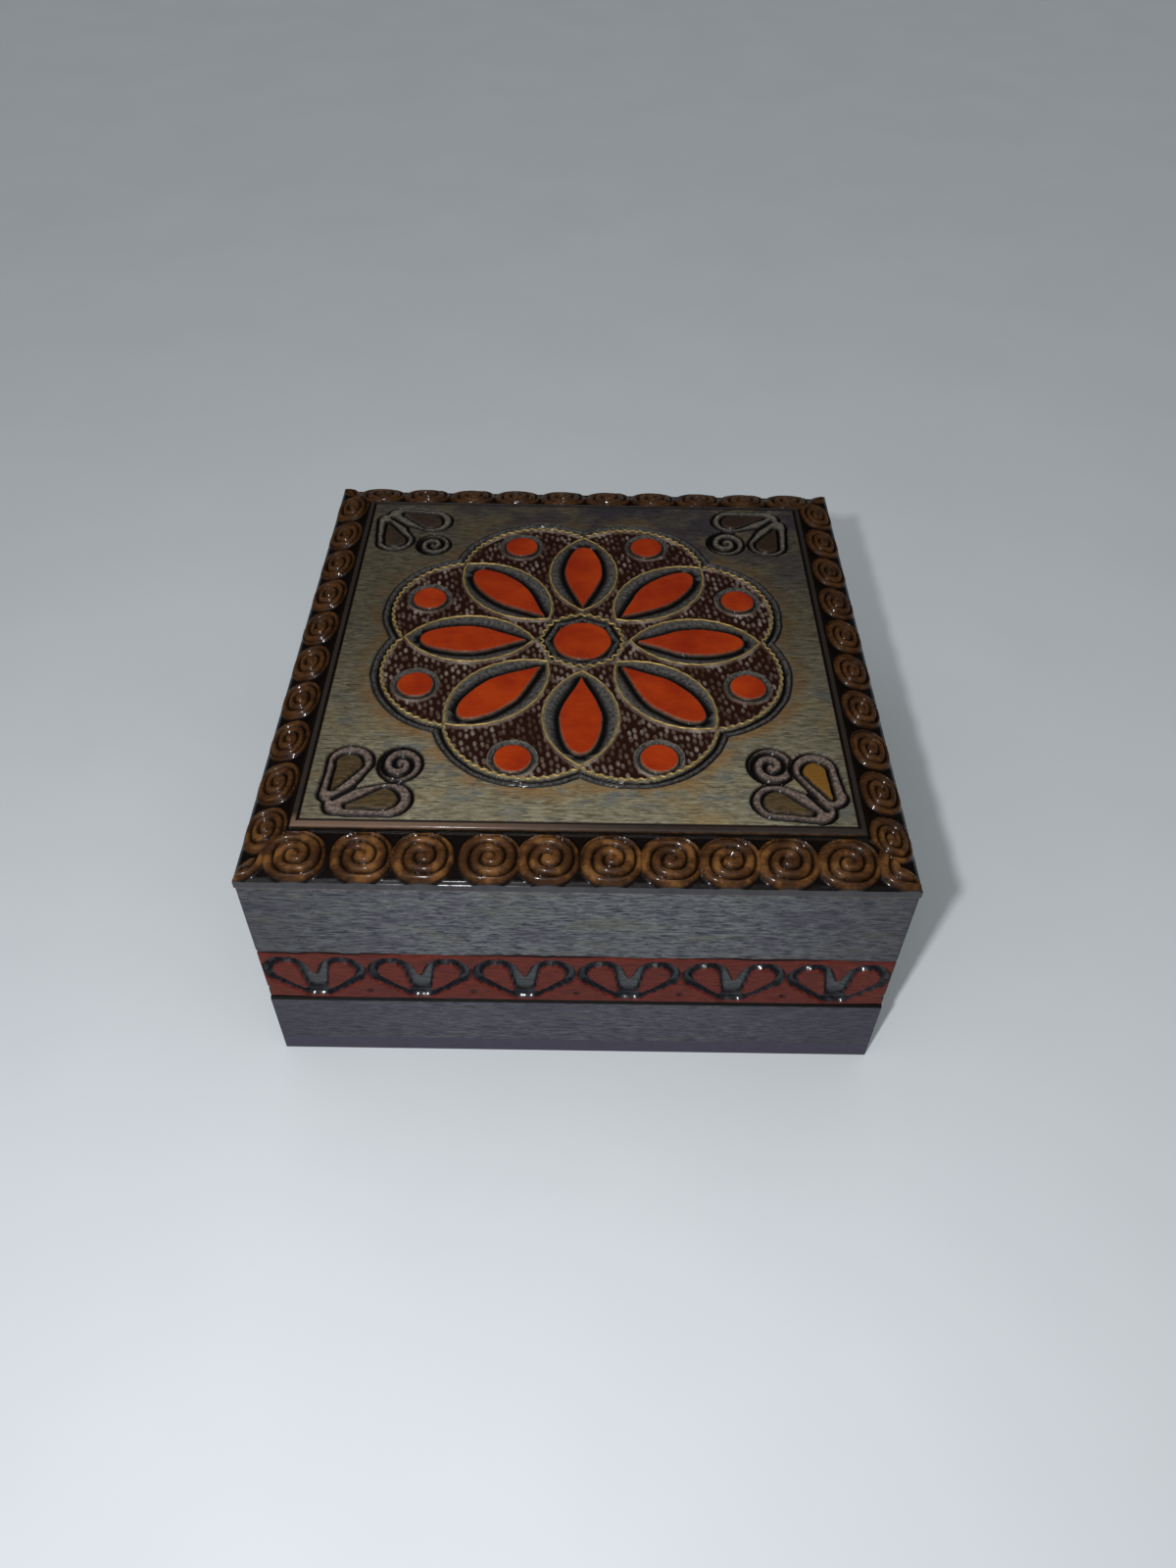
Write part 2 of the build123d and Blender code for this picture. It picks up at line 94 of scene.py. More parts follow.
# Rosette, close to the solids' sizes, with its dots placed one by one
CENTRE = (0.0, 0.5)
STEP = radians(45)
PETAL_IN, PETAL_OUT, PETAL_HALF = 10.6, 39.3, 7.9
PETAL_REACH = (PETAL_OUT - PETAL_IN) / 2
PETAL_ARC = (PETAL_REACH**2 + PETAL_HALF**2) / (2 * PETAL_HALF)
LOBE_CENTRE, LOBE_RADIUS = 26.9, 18.07
LOBE_SWEEP = radians(56.0)
PETAL_TIP, PETAL_END, PETAL_WIDEST, PETAL_ISLAND_HALF = 12.4, 35.7, 0.56, 4.3
DOTS = (
    (-15.1, 36.1), (15.2, 36.6), (35.6, 15.6), (35.4, -14.3),
    (15.8, -36.1), (-13.5, -36.8), (-35.2, -15.0), (-35.2, 15.0),
)
DOT_RADIUS, DOT_EDGE = 3.75, 5.1
DISC_RADIUS, DISC_EDGE, DISC_WIRE = 6.25, 8.3, 8.9
WOBBLE = 0.25
LINE_DEPTH = 0.35

# Lobed channel outside the wires: place and depth of the crease on each side of its bead
INNER_CREASE, INNER_DEPTH = 0.85, 0.85
OUTER_CREASE, OUTER_DEPTH = 2.3, 0.5

# Punched field: lean and cell of its ridges, its depth and their height, and its room round dots and disc
RIDGE_LEAN, RIDGE_WIDTH, RIDGE_LENGTH = radians(10), 1.3, 2.3
FIELD_DEPTH, RIDGE_HEIGHT = 0.75, 0.5
DOT_ROOM, DISC_ROOM = 1.4, 9.2

# Wires: radius, half width and pitch of their side waves, and height over the panel's face
WIRE_RADIUS = 0.21
CENTRE_WAVE, PETAL_WAVE, LOBE_WAVE = (0.36, 2.13), (0.06, 3.1), (0.27, 2.0)
CENTRE_LIFT, WIRE_LIFT = -0.05, -0.02

# Sloping border: the frame groove, then a row of coils, measured outwards from the panel's edge. Each
# row has room at the corners, and each coil fills a share of its place.
FRAME_GROOVE, FRAME_DEPTH = 1.75, 0.8
COIL_INSET, COIL_CORNER, COIL_COUNT, COIL_FILL = 2.0, 5, 10, 0.97
COIL_TURNS, COIL_POWER, COIL_DEPTH, COIL_DOME = 2.8, 2.3, 0.95, 0.45
EDGE_FALL, EDGE_REACH = 0.5, 0.9
# Places of the coils along the front, and one more beyond each end
FRONT_COILS = (-64.0, -52.7, -40.2, -28.9, -16.4, -5.6, 6.1, 17.3, 28.2, 39.0, 50.3, 61.5)

# Corner carvings: two loops with their islands as round cones, the islands' tints, the line that parts
# the loops, and the coil's centre and radii
CORNERS = (
    (
        ((-47.6, -47.0), (-45.4, -38.5), 2.9, 4.9), ((-46.0, -49.6), (-36.6, -48.4), 3.3, 4.8),
        ((-47.9, -45.6), (-45.6, -39.0), 0.3, 2.7), ((-44.3, -50.2), (-37.6, -48.2), 0.4, 2.7),
        (0.4, 0.35), ((-41.2, -43.3), (-47.2, -48.4)), (-35.5, -38.9, 4.5, 5.0),
    ),
    (
        ((49.0, -46.0), (46.4, -38.7), 3.2, 4.8), ((46.0, -49.8), (37.9, -47.5), 3.5, 4.9),
        ((48.8, -46.3), (46.4, -39.3), 0.5, 2.5), ((44.4, -50.3), (38.1, -47.6), 0.5, 2.8),
        (1.0, 0.45), ((42.8, -43.2), (47.4, -49.6)), (37.9, -37.9, 4.8, 5.2),
    ),
    (
        ((-48.6, 46.5), (-46.2, 38.2), 3.1, 4.8), ((-46.3, 49.0), (-37.6, 46.6), 3.2, 4.9),
        ((-48.8, 45.5), (-46.2, 38.2), 0.4, 2.7), ((-44.7, 49.6), (-38.4, 46.6), 0.7, 3.0),
        (-0.6, -0.6), ((-41.3, 41.6), (-48.0, 47.8)), (-36.6, 36.5, 4.2, 4.4),
    ),
    (
        ((47.3, 46.4), (44.9, 38.6), 3.3, 4.9), ((45.8, 49.8), (36.6, 48.5), 3.4, 4.9),
        ((47.3, 45.0), (44.8, 38.4), 0.6, 2.9), ((44.6, 50.4), (37.0, 48.3), 0.4, 2.8),
        (-0.8, -0.9), ((40.6, 42.6), (46.8, 48.9)), (34.7, 38.9, 4.6, 5.0),
    ),
)
LOOP_DEPTH, LOOP_SINK, LOOP_COIL_TURNS = 0.8, 0.08, 1.9

# Unstained wood inside the box, dark and light
BARE_WOOD = ((0.16, 0.085, 0.04), (0.33, 0.20, 0.10))

# Stage, in metres, watts and strengths: the floor's half width, the lamp, the room light and its share in
# reflections, and the camera's place and turns
FLOOR_HALF = 3
FLASH_PLACE, FLASH_AIM = (-0.058, -0.243, 0.275), (0, -0.05, 0.03)
FLASH_SIZE, FLASH_POWER, FLASH_COLOUR = 0.012, 0.78, (0.97, 0.98, 1.0)
ROOM_COLOUR, ROOM_LEVEL, ROOM_GLOSS = (0.93, 0.98, 1.0, 1), 0.46, 0.025
CAMERA_PLACE = (0.0007, -0.1971, 0.2208)
CAMERA_YAW, CAMERA_TILT, CAMERA_ROLL = radians(-0.343), radians(43.9), radians(1.131)
CAMERA_LENS, CAMERA_SENSOR, CAMERA_NEAR = 26.11, 36, 0.01


def smooth(x, low, high):
    """Smooth step from 0 at low to 1 at high."""
    t = np.clip((x - low) / (high - low), 0, 1)
    return t * t * (3 - 2 * t)


def gouge(inside, reach, depth):
    """Depth of a round-bottomed cut, from the distance inside its edge."""
    t = np.clip(inside / reach, 0, 1)
    return depth * np.sqrt(np.clip(1 - (1 - t) ** 2, 0, 1))


def cone(x, y, foot, head, foot_r, head_r):
    """Signed distance to a round cone in the plane."""
    ax, ay = foot
    bx, by = head[0] - ax, head[1] - ay
    t = np.clip(((x - ax) * bx + (y - ay) * by) / (bx * bx + by * by), 0, 1)
    return np.hypot(x - ax - t * bx, y - ay - t * by) - (foot_r + t * (head_r - foot_r))


def random_cells(i, j, seed):
    """Even random number in 0..1 for each pair of whole numbers."""
    h = np.sin(i * 127.1 + j * 311.7 + seed * 74.7) * 43758.5453
    return h - np.floor(h)


def value_noise(x, y, seed):
    """Smooth noise in 0..1."""
    i, j = np.floor(x), np.floor(y)
    u, v = x - i, y - j
    u, v = u * u * (3 - 2 * u), v * v * (3 - 2 * v)
    low = random_cells(i, j, seed) * (1 - u) + random_cells(i + 1, j, seed) * u
    high = random_cells(i, j + 1, seed) * (1 - u) + random_cells(i + 1, j + 1, seed) * u
    return low * (1 - v) + high * v


def dashes(x, y):
    """Punched field: short leaning ridges in loose rows, 0..1."""
    u = (x * cos(RIDGE_LEAN) + y * sin(RIDGE_LEAN)) / RIDGE_WIDTH
    v = (y * cos(RIDGE_LEAN) - x * sin(RIDGE_LEAN)) / RIDGE_LENGTH
    best = np.zeros_like(u)
    for di in (-1, 0, 1):
        for dj in (-1, 0, 1):
            i, j = np.floor(u) + di, np.floor(v) + dj
            cu = i + 0.5 + 0.5 * (random_cells(i, j, 1) - 0.5)
            cv = j + 0.5 + 0.6 * (random_cells(i, j, 2) - 0.5) + 0.5 * (i % 2)
            d = np.hypot((u - cu) / 0.44, (v - cv) / 0.48)
            best = np.maximum(best, (1 - smooth(d, 0.45, 1.0)) * (0.3 + 0.7 * random_cells(i, j, 3)))
    return best


def coil(x, y, centre, radius_x, radius_y, turns, hand, start, power=2.0):
    """Distance from a spiral groove's middle in millimetres, and from the coil's centre as a share."""
    u, v = (x - centre[0]) / radius_x, (y - centre[1]) / radius_y
    share = (np.abs(u) ** power + np.abs(v) ** power) ** (1 / power)
    radius = (radius_x + radius_y) / 2
    phase = (share * turns * 2 * pi - hand * np.arctan2(v, u) + start) / (2 * pi)
    gap = (0.5 - np.abs(phase - np.round(phase))) * radius / turns
    gap = np.maximum(gap, (0.13 - share) * radius + 0.3)
    gap = np.maximum(gap, (share - 0.86) * radius)
    return np.minimum(gap, (1.02 - share) * radius), share


def petal_island(along, across):
    """Signed distance out of a petal's island, whose tip points at the centre."""

    def width(place):
        t = np.clip((place - PETAL_TIP) / (PETAL_END - PETAL_TIP), 0, 1)
        rise = np.clip(t / PETAL_WIDEST, 0, 1)
        rise = 0.35 * smooth(rise, 0, 1) + 0.65 * np.sin(rise * pi / 2)
        fall = np.sqrt(1 - np.clip((t - PETAL_WIDEST) / (1 - PETAL_WIDEST), 0, 1) ** 2)
        return PETAL_ISLAND_HALF * np.where(t < PETAL_WIDEST, rise, fall)

    slope = (width(along + 0.15) - width(along - 0.15)) / 0.3
    out = (across - width(along)) / np.sqrt(1 + slope**2)
    return np.maximum(out, np.maximum(PETAL_TIP - along, along - PETAL_END))


def carve_panel(x, y):
    """Depth of everything on the flat panel, and its colour masks."""
    cx, cy = x - CENTRE[0], y - CENTRE[1]
    r, turn = np.hypot(cx, cy), np.arctan2(cy, cx)
    a = np.mod(turn + STEP / 2, STEP) - STEP / 2
    b = np.mod(turn, STEP) - STEP / 2
    px, py = r * np.cos(a), np.abs(r * np.sin(a))
    wobble = WOBBLE * (value_noise(x / 3, y / 3, 5) - 0.5)
    petal = np.hypot(px - PETAL_IN - PETAL_REACH, py + PETAL_ARC - PETAL_HALF) - PETAL_ARC
    heart = petal_island(px, py) + wobble
    lobe = np.hypot(r * np.cos(b) - LOBE_CENTRE, r * np.sin(b)) - LOBE_RADIUS
    dot = np.min([np.hypot(x - place[0], y - place[1]) for place in DOTS], axis=0) - DOT_RADIUS + wobble
    disc = r - DISC_RADIUS + wobble
    # Channels round the petals, dots and disc: deep at the island, rising outwards. Each has its width,
    # its depth, and the distances from the island between which its shade fades.
    depth = np.zeros_like(x)
    grey = np.zeros_like(x)
    red = np.zeros_like(x)
    shade = np.ones_like(x)
    for island, limit, reach, deep, dark in (
        (heart, -petal - 0.45, 3.0, 0.85, (0.85, 2.3)),
        (dot, DOT_EDGE - DOT_RADIUS - dot, 1.4, 0.65, (0.25, 0.75)),
        (disc, DISC_EDGE - DISC_RADIUS - disc, 2.0, 0.75, (0.3, 1.1)),
    ):
        inside = np.minimum(limit, island)
        fall = smooth(island, -0.1, 0.35) * (1 - 0.85 * smooth(island, 0.35, reach))
        depth = np.maximum(depth, deep * fall * smooth(limit, -0.1, 0.3))
        grey = np.maximum(grey, smooth(inside, -0.1, 0.3))
        red = np.maximum(red, smooth(-island, -0.1, 0.15) * (limit > 0))
        shade = np.where(limit > -0.1, smooth(island, *dark), shade)
    # The lobed channel outside the wires has a crease on each side of a round bead
    edge = lobe + wobble
    beyond = edge > 0.3
    depth = np.maximum(depth, INNER_DEPTH * (1 - smooth(np.abs(edge - INNER_CREASE), 0.1, 0.75)) * beyond)
    depth = np.maximum(depth, OUTER_DEPTH * (1 - smooth(np.abs(edge - OUTER_CREASE), 0.05, 0.4)))
    ring = smooth(edge, 0.3, 0.5) * (1 - smooth(edge, 2.35, 2.6))
    grey = np.maximum(grey, ring)
    shade = np.where(ring > 0, 0.85 * smooth(edge, 0.95, 1.4) * (1 - smooth(edge, 1.95, 2.2)), shade)
    field = np.minimum(np.minimum(-lobe - 0.3, petal - 0.3), np.minimum(dot - DOT_ROOM, r - DISC_ROOM))
    field = smooth(field, 0, 0.25)
    ridge = dashes(x, y)
    depth = np.maximum(depth, field * (FIELD_DEPTH - RIDGE_HEIGHT * ridge))
    leaf_depth, leaf, leaf_shade, warm = corner_leaves(x, y)
    depth = np.maximum(depth, leaf_depth)
    grey = np.maximum(grey, leaf)
    shade = np.where(leaf > 0, leaf_shade, shade)
    line = np.minimum(np.abs(np.abs(x) - PANEL_X), np.abs(np.abs(y) - PANEL_Y))
    depth = np.maximum(depth, LINE_DEPTH * (1 - smooth(line, 0.1, 0.45)))
    glow = smooth(edge, 2.3, 2.7) * (1 - smooth(edge, 3.0, 7.5))
    return depth, red, grey, field * (1 - 0.8 * ridge), warm, shade, glow


def corner_leaves(x, y):
    """Depth, mask, lightness and warm tint of the loops and coils in the corners."""
    depth, mask, light, warm = (np.zeros_like(x) for _ in range(4))
    for loop_a, loop_b, island_a, island_b, tints, (notch, junction), coil_place in CORNERS:
        wobble = WOBBLE * (value_noise(x / 2, y / 2, 9) - 0.5)
        outer = np.minimum(cone(x, y, *loop_a), cone(x, y, *loop_b)) + wobble
        inner_a, inner_b = cone(x, y, *island_a) + wobble, cone(x, y, *island_b) - wobble
        inner = np.minimum(inner_a, inner_b)
        inside = np.minimum(-outer, inner)
        parting = cone(x, y, notch, junction, 0, 0)
        crease = np.where(inside > 0, np.minimum(inside, parting), -inside)
        centre, radii = coil_place[:2], coil_place[2:]
        hand = -1 if centre[0] * centre[1] > 0 else 1
        gap, share = coil(x, y, centre, *radii, LOOP_COIL_TURNS, hand, pi)
        on_coil = (outer > 0.2) & (share < 1.25)
        inside = np.where(on_coil, np.maximum(inside, (1.02 - share) * radii[0]), inside)
        crease = np.where(on_coil, np.minimum(crease, np.abs(gap)), crease)
        reach = np.where(inside > 0, 0.85, 0.4)
        near = inside > -0.6
        cut = LOOP_DEPTH * (1 - smooth(crease / reach, 0.05, 1.0)) + LOOP_SINK * (inside > 0)
        depth = np.where(near, cut, depth)
        mask = np.where(near, smooth(inside, -0.3, -0.1), mask)
        light = np.where(near, smooth(crease, 0.38, 1.0) * (inside > 0), light)
        warm += tints[0] * smooth(-inner_a, 0, 0.3) + tints[1] * smooth(-inner_b, 0, 0.3)
    return depth, mask, light, warm


def border_centres(half):
    """Places of the coils along one side of the border, and one more beyond each end."""
    return (np.arange(COIL_COUNT + 2) - (COIL_COUNT + 1) / 2) * (half - COIL_CORNER) / (COIL_COUNT / 2)


def carve_border(x, y):
    """Drop below the panel, share of painted shade in the coils' grooves, border mask and distance beyond the
    panel of the sloping border.
    """
    out_x = (np.abs(x) - PANEL_X) / (HALF_X - PANEL_X)
    out_y = (np.abs(y) - PANEL_Y) / (HALF_Y - PANEL_Y)
    out = np.clip(np.maximum(out_x, out_y), 0, 1)
    slope = (PANEL_TOP - EDGE_TOP) * out
    width = np.where(out_x > out_y, HALF_X - PANEL_X, HALF_Y - PANEL_Y)
    beyond = out * width
    on = smooth(beyond, 0.1, 0.3)
    frame_cut = FRAME_DEPTH * (1 - smooth(np.abs(beyond - FRAME_GROOVE), 0.1, 0.5))
    gap_best = np.zeros_like(x)
    share_best = np.full_like(x, 9.0)
    rows = (
        (False, -1, np.array(FRONT_COILS), 1),
        (False, 1, border_centres(HALF_X), 1),
        (True, -1, border_centres(HALF_Y), -1),
        (True, 1, border_centres(HALF_Y), 1),
    )
    for sideways, side, places, hand in rows:
        half = HALF_X if sideways else HALF_Y
        inner = PANEL_X if sideways else PANEL_Y
        reach = (half - inner - COIL_INSET) / 2
        across = side * (inner + COIL_INSET + reach)
        here = (np.sign(x) == side) & (out_x >= out_y) if sideways else (np.sign(y) == side) & (out_y > out_x)
        along = (half - COIL_CORNER) / COIL_COUNT * COIL_FILL
        for n, place in enumerate(places):
            centre = (across, place) if sideways else (place, across)
            radii = (reach, along) if sideways else (along, reach)
            start = 1.2 + 0.5 * ((n - 1) % 3)
            gap, share = coil(x, y, centre, *radii, COIL_TURNS, hand, start, COIL_POWER)
            nearer = here & (share < share_best)
            gap_best = np.where(nearer, gap, gap_best)
            share_best = np.where(nearer, share, share_best)
    on_coils = smooth(beyond, 1.8, 2.1)
    hollow = on_coils * (1 - smooth(gap_best, -0.1, 0.65))
    # Painted shade: the grooves between the coils' turns are to be painted near black
    dark = on_coils * (1 - smooth(gap_best, 0.05, 0.42))
    dome = COIL_DOME * on_coils * (1 - smooth(share_best, 0.2, 1.05))
    fall = EDGE_FALL * smooth(beyond, width - EDGE_REACH, width) ** 1.5
    drop = slope + np.maximum(frame_cut * on, COIL_DEPTH * hollow) - dome + fall * on
    return np.where(out > 0, drop, 0), dark * on, on, beyond


def patch(axis, at, lo, hi, steps):
    """Rectangular grid of points on one face of a box, and its quads."""
    others = [k for k in range(3) if k != axis]
    lines = [np.linspace(lo[k], hi[k], steps[k] + 1) for k in others]
    first, second = np.meshgrid(*lines, indexing="ij")
    points = np.empty((first.size, 3))
    points[:, axis] = at
    points[:, others[0]] = first.ravel()
    points[:, others[1]] = second.ravel()
    n = len(lines[1])
    i, j = np.meshgrid(np.arange(len(lines[0]) - 1), np.arange(n - 1), indexing="ij")
    start = (i * n + j).ravel()
    quads = np.stack([start, start + n, start + n + 1, start + 1], 1)
    outward = (at == hi[axis]) != (axis == 1)
    return points, quads if outward else quads[:, ::-1]


def block(lo, hi, step, coarse=()):
    """Closed box of small quads. Faces named in coarse are one quad each."""
    all_points, all_quads, count = [], [], 0
    for axis in range(3):
        for at, name in ((lo[axis], "xyz"[axis] + "-"), (hi[axis], "xyz"[axis] + "+")):
            steps = [max(1, int(round((h - l) / step))) for l, h in zip(lo, hi)]
            if name in coarse:
                steps = [1, 1, 1]
            points, quads = patch(axis, at, lo, hi, steps)
            all_points.append(points)
            all_quads.append(quads + count)
            count += len(points)
    points = np.round(np.concatenate(all_points), 5)
    points, back = np.unique(points, axis=0, return_inverse=True)
    return points, back.reshape(-1)[np.concatenate(all_quads)]


def mesh_piece(name, points, faces, material, body, slot, nodes, masks=None):
    """Blender object from points in millimetres, which rides on a body and stands for CAD nodes."""
    mesh = bpy.data.meshes.new(name)
    mesh.vertices.add(len(points))
    mesh.vertices.foreach_set("co", (points * MM).astype(np.float32).ravel())
    mesh.loops.add(faces.size)
    mesh.loops.foreach_set("vertex_index", faces.astype(np.int32).ravel())
    mesh.polygons.add(len(faces))
    mesh.polygons.foreach_set("loop_start", np.arange(0, faces.size, faces.shape[1], dtype=np.int32))
    mesh.polygons.foreach_set("use_smooth", np.ones(len(faces), bool))
    mesh.update(calc_edges=True)
    for key, columns in (masks or {}).items():
        layer = mesh.attributes.new(key, "FLOAT_COLOR", "POINT")
        values = np.ones((len(points), 4), np.float32)
        values[:, :3] = np.stack(columns, 1)
        layer.data.foreach_set("color", values.ravel())
    mesh.materials.append(material)
    piece = bpy.data.objects.new(name, mesh)
    bpy.context.scene.collection.objects.link(piece)
    mesh.set_sharp_from_angle(angle=SHARP_ANGLE)
    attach(piece, body)
    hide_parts(*nodes)


def band_depth(along, half, z):
    """Depth of the band's gouges on a wall's outer face."""
    pitch = 2 * half / BAND_MOTIFS
    u = np.abs(np.mod(along + half, pitch) - pitch / 2)
    inside = np.minimum(-cone(u, z, *LEAF), cone(u, z, *ISLAND))
    depth = gouge(inside, 1.0, BAND_DEPTH)
    nick = np.hypot((u - pitch / 2) / NICK_HALF_WIDTH, (z - NICK_Z) / NICK_HALF_HEIGHT)
    return np.maximum(depth, NICK_DEPTH * (1 - smooth(nick, 0.3, 1.0)))


def carve_wall(points):
    """Moves a wall's outer points inwards where the band is gouged, and softens its corners and rim."""
    x, y, z = points.T
    moved = points.copy()
    on_x = np.abs(np.abs(x) - HALF_X) < 0.01
    on_y = np.abs(np.abs(y) - HALF_Y) < 0.01
    score = SCORE_DEPTH * (1 - smooth(np.abs(z - BAND_TOP + 0.25 * np.sin(x / 7 + y / 5)), 0.15, 0.5))
    ease_x = CORNER_EASE * (1 - smooth(HALF_Y - np.abs(y), 0, CORNER_REACH))
    ease_y = CORNER_EASE * (1 - smooth(HALF_X - np.abs(x), 0, CORNER_REACH))
    deep_x = np.maximum(band_depth(y, HALF_Y, z), score) + ease_x
    deep_y = np.maximum(band_depth(x, HALF_X, z), score) + ease_y
    moved[:, 0] -= np.where(on_x, np.sign(x) * deep_x, 0)
    moved[:, 1] -= np.where(on_y, np.sign(y) * deep_y, 0)
    low = np.abs(z - LID_RIM) < 0.01
    rise = RIM_RISE * (np.abs(x) / HALF_X) ** 6 * (1 - smooth(y, RISE_FULL - HALF_Y, RISE_GONE - HALF_Y))
    moved[:, 2] += np.where(low, rise, 0)
    moved[:, 2] += np.where(low & (on_x | on_y), RIM_EASE, 0)
    return moved


class Value:
    """A number in a material's node tree, with arithmetic."""

    def __init__(self, tree, socket):
        self.tree, self.socket = tree, socket

    def run(self, operation, *others):
        node = self.tree.nodes.new("ShaderNodeMath")
        node.operation = operation
        for k, item in enumerate((self, *others)):
            if isinstance(item, Value):
                self.tree.links.new(item.socket, node.inputs[k])
            else:
                node.inputs[k].default_value = item
        return Value(self.tree, node.outputs[0])

    def __add__(self, other):
        return self.run("ADD", other)

    def __sub__(self, other):
        return self.run("SUBTRACT", other)

    def __mul__(self, other):
        return self.run("MULTIPLY", other)

    def __truediv__(self, other):
        return self.run("DIVIDE", other)

    def abs(self):
        return self.run("ABSOLUTE")

    def step(self, low, high):
        """Smooth step from 0 at low to 1 at high."""
        node = self.tree.nodes.new("ShaderNodeMapRange")
        node.interpolation_type = "SMOOTHSTEP"
        self.tree.links.new(self.socket, node.inputs["Value"])
        node.inputs["From Min"].default_value = low
        node.inputs["From Max"].default_value = high
        return Value(self.tree, node.outputs["Result"])

    def flip(self):
        """One minus the number."""
        return self * -1 + 1


class Paint:
    """A wood or metal material that is built up from positions, noise and masks."""

    def __init__(self, name):
        self.material = bpy.data.materials.new(name)
        self.material.use_nodes = True
        self.tree = self.material.node_tree
        self.shader = self.tree.nodes["Principled BSDF"]
        place = self.tree.nodes.new("ShaderNodeTexCoord").outputs["Object"]
        split = self.tree.nodes.new("ShaderNodeSeparateXYZ")
        self.tree.links.new(place, split.inputs[0])
        self.x, self.y, self.z = (Value(self.tree, s) / MM for s in split.outputs)

    def noise(self, x, y, z, detail=4, rough=0.55, twist=0.0):
        """Noise over the given numbers, in 0..1."""
        join = self.tree.nodes.new("ShaderNodeCombineXYZ")
        for k, item in enumerate((x, y, z)):
            if isinstance(item, Value):
                self.tree.links.new(item.socket, join.inputs[k])
            else:
                join.inputs[k].default_value = item
        node = self.tree.nodes.new("ShaderNodeTexNoise")
        node.inputs["Scale"].default_value = 1.0
        node.inputs["Detail"].default_value = detail
        node.inputs["Roughness"].default_value = rough
        node.inputs["Distortion"].default_value = twist
        self.tree.links.new(join.outputs[0], node.inputs["Vector"])
        return Value(self.tree, node.outputs["Fac"])

    def cone(self, x, y, foot, head, foot_r, head_r):
        """Signed distance to a round cone in the plane, like cone above."""
        bx, by = head[0] - foot[0], head[1] - foot[1]
        t = ((x - foot[0]) * bx + (y - foot[1]) * by) / (bx * bx + by * by)
        t = t.run("MAXIMUM", 0.0).run("MINIMUM", 1.0)
        ex, ey = x - foot[0] - t * bx, y - foot[1] - t * by
        return (ex * ex + ey * ey).run("SQRT") - (t * (head_r - foot_r) + foot_r)

    def mix(self, share, first, second):
        """Colour between two colours."""
        node = self.tree.nodes.new("ShaderNodeMix")
        node.data_type = "RGBA"
        self.tree.links.new(share.socket, node.inputs[0])
        for socket, item in ((node.inputs[6], first), (node.inputs[7], second)):
            if isinstance(item, tuple):
                socket.default_value = (*item, 1)
            else:
                self.tree.links.new(item, socket)
        return node.outputs[2]

    def mask(self, name):
        """The three numbers of a mesh attribute."""
        node = self.tree.nodes.new("ShaderNodeAttribute")
        node.attribute_name = name
        split = self.tree.nodes.new("ShaderNodeSeparateColor")
        self.tree.links.new(node.outputs["Color"], split.inputs[0])
        return [Value(self.tree, s) for s in split.outputs]

    def finish(self, colour, rough, height, bump, coat=0.0, coat_rough=0.2, metal=0.0, gloss=0.12):
        """Connects colour, roughness and a bump of the given height in millimetres, and sets the gloss."""
        self.tree.links.new(colour, self.shader.inputs["Base Color"])
        self.tree.links.new(rough.socket, self.shader.inputs["Roughness"])
        node = self.tree.nodes.new("ShaderNodeBump")
        node.inputs["Distance"].default_value = MM
        node.inputs["Strength"].default_value = 1.0
        self.tree.links.new((height * bump).socket, node.inputs["Height"])
        self.tree.links.new(node.outputs[0], self.shader.inputs["Normal"])
        if isinstance(coat, Value):
            self.tree.links.new(coat.socket, self.shader.inputs["Coat Weight"])
        else:
            self.shader.inputs["Coat Weight"].default_value = coat
        self.shader.inputs["Coat Roughness"].default_value = coat_rough
        self.shader.inputs["Metallic"].default_value = metal
        self.shader.inputs["Specular IOR Level"].default_value = gloss
        return self.material


def grain(paint, along, across):
    """Long fine wood grain: streaks, pores and broad figure."""
    fine = paint.noise(along * 0.3, across * 2.0, 0.0, 8, 0.76, 0.6)
    pores = paint.noise(along * 0.9, across * 4.6, 0.0, 4, 0.7)
    broad = paint.noise(along * 0.06, across * 0.2, 0.0, 5, 0.62, 0.6)
    return fine, pores, broad


